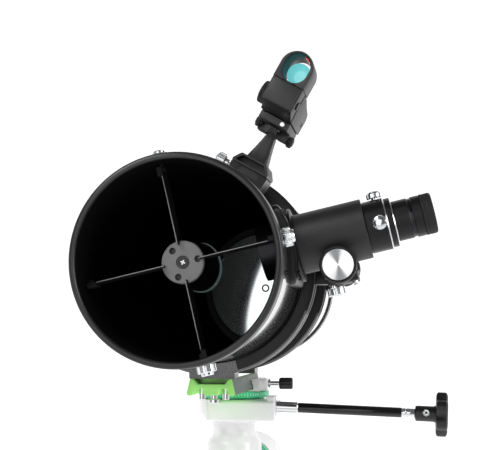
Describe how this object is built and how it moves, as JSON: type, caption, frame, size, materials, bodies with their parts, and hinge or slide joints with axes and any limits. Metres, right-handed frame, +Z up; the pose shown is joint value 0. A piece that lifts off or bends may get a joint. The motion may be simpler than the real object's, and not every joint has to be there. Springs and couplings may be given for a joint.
{
  "type": "telescope on tripod",
  "caption": "Reflecting telescope tube in hinged rings on a tilted equatorial mount with counterweight, slow-motion handles and a folding tripod.",
  "frame": {"origin": "on the floor at the vertical axis of the tripod", "axes": "+Z up; the tube mouth points to -Y and up; the focuser is on the +X side"},
  "size_m": [0.6218, 0.7237, 1.293],
  "materials": {
    "tube_paint": "gloss black",
    "ring_cast": "satin dark grey",
    "crinkle_black": "fine crinkle black",
    "black_plastic": "satin black",
    "spider_black": "matt black",
    "bright_steel": "polished",
    "disc_grey": "satin grey",
    "mirror_glass": "aluminised",
    "cell_alloy": "dark anodised",
    "green_alloy": "lime green anodised",
    "teal_alloy": "teal green anodised",
    "mount_white": "white enamel",
    "spun_alloy": "spun bright",
    "grip_rubber": "ribbed",
    "sight_glass": "cyan coated",
    "weight_iron": "white enamel",
    "leg_alloy": "satin anodised"
  },
  "bodies": {
    "tripod": {"tripod_hub": "mount_white"},
    "azimuth_knob": {"azimuth_bolt": "black_plastic"},
    "azimuth": {"azimuth_base": "mount_white", "latitude_bolts": "bright_steel"},
    "polar": {"ra_housing": "mount_white"},
    "polar_handle": {"ra_handle": "black_plastic"},
    "declination": {"dec_housing": "mount_white", "ra_setting_circle": "teal_alloy", "counterweight_shaft": "bright_steel"},
    "dec_drive": {"dec_handle": "black_plastic"},
    "weight": {"counterweight": "weight_iron"},
    "weight_knob": {"weight_lock_knob": "black_plastic"},
    "saddle": {"saddle": "mount_white", "dec_setting_circle": "teal_alloy"},
    "saddle_screw": {"saddle_clamp_screw": "black_plastic"},
    "rings": {"dovetail_bar": "green_alloy", "ring_lower": "crinkle_black", "ring_fasteners": "bright_steel"},
    "ring_front": {"ring_upper_front": "crinkle_black"},
    "ring_rear": {"ring_upper_rear": "crinkle_black"},
    "clamp_front": {"ring_clamp_front": "black_plastic"},
    "clamp_rear": {"ring_clamp_rear": "black_plastic"},
    "tube": {"main_tube": "tube_paint", "front_ring": "ring_cast", "rear_cell": "ring_cast", "primary_mirror": "mirror_glass", "mirror_cradle": "cell_alloy", "collimation_screws": "bright_steel", "spider_vanes": "spider_black", "spider_nuts": "bright_steel", "secondary_disc": "disc_grey", "secondary_screws": "bright_steel", "secondary_holder": "black_plastic", "secondary_mirror": "mirror_glass", "focuser_base": "crinkle_black", "focuser_body": "crinkle_black", "finder_shoe": "crinkle_black"},
    "focus_lock": {"focus_lock_screw": "bright_steel"},
    "drawtube": {"drawtube": "bright_steel", "eyepiece_adapter": "crinkle_black", "adapter_screws": "bright_steel"},
    "eyepiece": {"eyepiece_body": "black_plastic", "eyecup": "grip_rubber"},
    "focus_knob": {"focus_knobs": "grip_rubber", "focus_shaft": "spun_alloy"},
    "shoe_screw": {"finder_shoe_screw": "bright_steel"},
    "finder": {"finder_foot": "black_plastic"},
    "finder_sight": {"finder_cradle": "black_plastic", "finder_housing": "black_plastic", "finder_lens": "sight_glass"},
    "finder_switch": {"finder_switch": "black_plastic"},
    "leg_a": {"leg_upper_a": "leg_alloy"},
    "leg_end_a": {"leg_lower_a": "leg_alloy"},
    "leg_clamp_a": {"leg_knob_a": "black_plastic"},
    "leg_b": {"leg_upper_b": "leg_alloy"},
    "leg_end_b": {"leg_lower_b": "leg_alloy"},
    "leg_clamp_b": {"leg_knob_b": "black_plastic"},
    "leg_c": {"leg_upper_c": "leg_alloy"},
    "leg_end_c": {"leg_lower_c": "leg_alloy"},
    "leg_clamp_c": {"leg_knob_c": "black_plastic"}
  },
  "joints": [
    {"name": "leg_fold_a", "type": "hinge", "parent": "tripod", "child": "leg_a", "pos_m": [0, -0.066, 0.612], "axis": [1, 0, 0], "range_deg": [0, 24]},
    {"name": "leg_extend_a", "type": "slide", "parent": "leg_a", "child": "leg_end_a", "axis": [0, -0.4067, -0.9135], "range_m": [0, 0.18]},
    {"name": "leg_clamp_turn_a", "type": "hinge", "parent": "leg_a", "child": "leg_clamp_a", "pos_m": [0, -0.23683, 0.22831], "axis": [0, -0.9135, 0.4067], "range_deg": [0, 540]},
    {"name": "leg_fold_b", "type": "hinge", "parent": "tripod", "child": "leg_b", "pos_m": [0.05716, 0.033, 0.612], "axis": [-0.5, 0.866, 0], "range_deg": [0, 24]},
    {"name": "leg_extend_b", "type": "slide", "parent": "leg_b", "child": "leg_end_b", "axis": [0.3522, 0.2034, -0.9135], "range_m": [0, 0.18]},
    {"name": "leg_clamp_turn_b", "type": "hinge", "parent": "leg_b", "child": "leg_clamp_b", "pos_m": [0.2051, 0.11842, 0.22831], "axis": [0.7912, 0.4568, 0.4067], "range_deg": [0, 540]},
    {"name": "leg_fold_c", "type": "hinge", "parent": "tripod", "child": "leg_c", "pos_m": [-0.05716, 0.033, 0.612], "axis": [-0.5, -0.866, 0], "range_deg": [0, 24]},
    {"name": "leg_extend_c", "type": "slide", "parent": "leg_c", "child": "leg_end_c", "axis": [-0.3522, 0.2034, -0.9135], "range_m": [0, 0.18]},
    {"name": "leg_clamp_turn_c", "type": "hinge", "parent": "leg_c", "child": "leg_clamp_c", "pos_m": [-0.2051, 0.11842, 0.22831], "axis": [-0.7912, 0.4568, 0.4067], "range_deg": [0, 540]},
    {"name": "azimuth_knob_turn", "type": "hinge", "parent": "tripod", "child": "azimuth_knob", "pos_m": [0, 0, 0.59], "axis": [0, 0, 1], "range_deg": [-540, 540]},
    {"name": "azimuth_turn", "type": "hinge", "parent": "tripod", "child": "azimuth", "pos_m": [0, 0, 0.64], "axis": [0, 0, 1], "continuous": true},
    {"name": "latitude_tilt", "type": "hinge", "parent": "azimuth", "child": "polar", "pos_m": [0, 0, 0.736], "axis": [1, 0, 0], "range_deg": [-14, 14]},
    {"name": "ra_turn", "type": "hinge", "parent": "polar", "child": "declination", "pos_m": [0, 0.03546, 0.78951], "axis": [0, -0.788, 0.6157], "range_deg": [-70, 70]},
    {"name": "ra_handle_turn", "type": "hinge", "parent": "polar", "child": "polar_handle", "pos_m": [-0.0465, -0.00336, 0.77669], "axis": [1, 0, 0], "continuous": true},
    {"name": "dec_turn", "type": "hinge", "parent": "declination", "child": "saddle", "pos_m": [0, -0.00354, 0.8809], "axis": [0, 0.6157, 0.788], "continuous": true},
    {"name": "dec_handle_turn", "type": "hinge", "parent": "declination", "child": "dec_drive", "pos_m": [0.0418, -0.01332, 0.91874], "axis": [0.9993, -0.0236, -0.0303], "continuous": true},
    {"name": "weight_slide", "type": "slide", "parent": "declination", "child": "weight", "axis": [0, -0.6157, -0.788], "range_m": [-0.12, 0.075]},
    {"name": "weight_knob_turn", "type": "hinge", "parent": "weight", "child": "weight_knob", "pos_m": [0.055, -0.17654, 0.65947], "axis": [1, 0, 0], "range_deg": [0, 540]},
    {"name": "saddle_screw_turn", "type": "hinge", "parent": "saddle", "child": "saddle_screw", "pos_m": [0.05, 0.01338, 0.92529], "axis": [1, 0, 0], "range_deg": [0, 720]},
    {"name": "bar_slide", "type": "slide", "parent": "saddle", "child": "rings", "axis": [0, 0.788, -0.6157], "range_m": [-0.03, 0.03]},
    {"name": "tube_roll", "type": "hinge", "parent": "rings", "child": "tube", "pos_m": [0, -0.00024, 1.06867], "axis": [0, 0.788, -0.6157], "range_deg": [-110, 20]},
    {"name": "ring_open_front", "type": "hinge", "parent": "rings", "child": "ring_front", "pos_m": [-0.0971, -0.01048, 1.07667], "axis": [0, -0.788, 0.6157], "range_deg": [0, 100]},
    {"name": "ring_clamp_turn_front", "type": "hinge", "parent": "ring_front", "child": "clamp_front", "pos_m": [0.1021, -0.0031, 1.08613], "axis": [0, 0.6157, 0.788], "range_deg": [0, 720]},
    {"name": "ring_open_rear", "type": "hinge", "parent": "rings", "child": "ring_rear", "pos_m": [-0.0971, 0.09905, 0.9911], "axis": [0, -0.788, 0.6157], "range_deg": [0, 100]},
    {"name": "ring_clamp_turn_rear", "type": "hinge", "parent": "ring_rear", "child": "clamp_rear", "pos_m": [0.1021, 0.10644, 1.00055], "axis": [0, 0.6157, 0.788], "range_deg": [0, 720]},
    {"name": "focus_slide", "type": "slide", "parent": "tube", "child": "drawtube", "axis": [0.9744, 0.1385, 0.1773], "range_m": [0, 0.035]},
    {"name": "focus_knob_turn", "type": "hinge", "parent": "tube", "child": "focus_knob", "pos_m": [0.11801, -0.06246, 1.11735], "axis": [0, 0.788, -0.6157], "range_deg": [0, 545]},
    {"name": "focus_lock_turn", "type": "hinge", "parent": "tube", "child": "focus_lock", "pos_m": [0.11416, -0.07407, 1.10249], "axis": [0.225, -0.5999, -0.7678], "range_deg": [0, 360]},
    {"name": "eyepiece_slide", "type": "slide", "parent": "drawtube", "child": "eyepiece", "axis": [0.9744, 0.1385, 0.1773], "range_m": [0, 0.045]},
    {"name": "shoe_screw_turn", "type": "hinge", "parent": "tube", "child": "shoe_screw", "pos_m": [0.01732, -0.01795, 1.19867], "axis": [-0.8704, 0.3032, 0.388], "range_deg": [0, 720]},
    {"name": "finder_slide", "type": "slide", "parent": "tube", "child": "finder", "axis": [0, -0.788, 0.6157], "range_m": [0, 0.038]},
    {"name": "finder_tilt", "type": "hinge", "parent": "finder", "child": "finder_sight", "pos_m": [0.06328, -0.00546, 1.21467], "axis": [0.8704, -0.3032, -0.388], "range_deg": [-2.5, 2.5]},
    {"name": "finder_switch_turn", "type": "hinge", "parent": "finder_sight", "child": "finder_switch", "pos_m": [0.05967, -0.00578, 1.25324], "axis": [-0.8704, 0.3032, 0.388], "range_deg": [0, 270]}
  ],
  "couplings": [
    {"joint": "focus_knob_turn", "follows": "focus_slide", "rad_per_m": 266.67},
    {"joint": "ra_handle_turn", "follows": "ra_turn", "ratio": 100},
    {"joint": "dec_handle_turn", "follows": "dec_turn", "ratio": 100}
  ]
}
